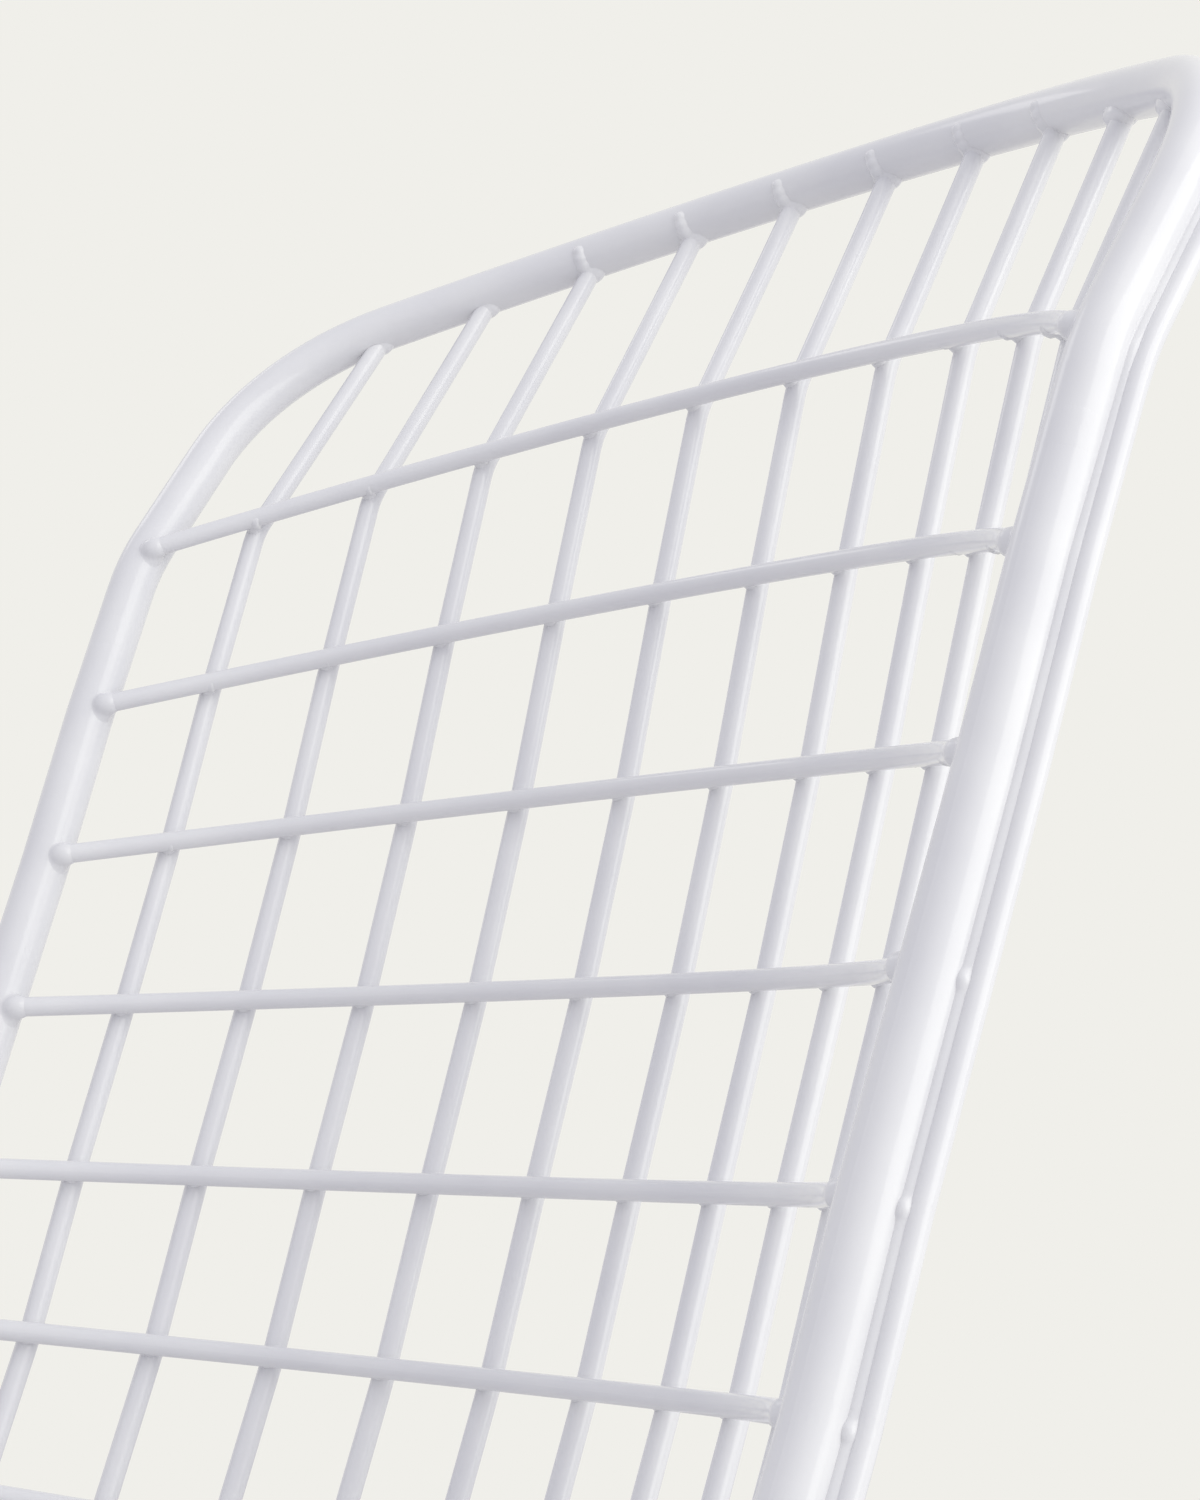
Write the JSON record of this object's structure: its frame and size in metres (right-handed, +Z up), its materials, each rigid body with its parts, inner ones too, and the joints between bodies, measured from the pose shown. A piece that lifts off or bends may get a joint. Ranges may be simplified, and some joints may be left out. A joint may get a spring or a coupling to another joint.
{
  "type": "wire dining chair",
  "caption": "White wire-shell dining chair: curved mesh back and seat inside a heavy rod rim, welded on a bent-rod sled base with plastic floor glides.",
  "frame": {"origin": "on the floor under the middle of the chair's box, between the glides", "axes": "+Z up, the sitter faces -Y and the back stands towards +Y, +X to the right as seen from the front"},
  "size_m": [0.498, 0.5711, 0.8755],
  "materials": {
    "white_paint": "gloss white powder coat on steel rod and wire",
    "glide_plastic": "plain white moulded plastic"
  },
  "bodies": {
    "root": {"rim_top": "white_paint", "rim_side_left": "white_paint", "rim_side_right": "white_paint", "rim_seat": "white_paint", "rim_stiffener_left": "white_paint", "rim_stiffener_right": "white_paint", "back_wire_01": "white_paint", "back_wire_02": "white_paint", "back_wire_03": "white_paint", "back_wire_04": "white_paint", "back_wire_05": "white_paint", "back_wire_06": "white_paint", "back_wire_07": "white_paint", "back_wire_08": "white_paint", "back_wire_09": "white_paint", "back_wire_10": "white_paint", "seat_wire_01": "white_paint", "seat_wire_02": "white_paint", "seat_wire_03": "white_paint", "seat_wire_04": "white_paint", "seat_wire_05": "white_paint", "seat_wire_06": "white_paint", "seat_wire_07": "white_paint", "seat_wire_08": "white_paint", "seat_wire_09": "white_paint", "seat_wire_10": "white_paint", "back_cross_wire_1": "white_paint", "back_cross_wire_2": "white_paint", "back_cross_wire_3": "white_paint", "back_cross_wire_4": "white_paint", "back_cross_wire_5": "white_paint", "back_cross_wire_6": "white_paint", "back_cross_wire_7": "white_paint", "seat_cross_wire_1": "white_paint", "seat_cross_wire_2": "white_paint", "seat_cross_wire_3": "white_paint", "seat_cross_wire_4": "white_paint", "seat_cross_wire_5": "white_paint", "seat_cross_wire_6": "white_paint", "side_frame_left": "white_paint", "side_frame_right": "white_paint", "rail_front": "white_paint", "rail_rear": "white_paint", "glide_front_left": "glide_plastic", "glide_front_right": "glide_plastic", "glide_rear_left": "glide_plastic", "glide_rear_right": "glide_plastic"}
  },
  "joints": []
}
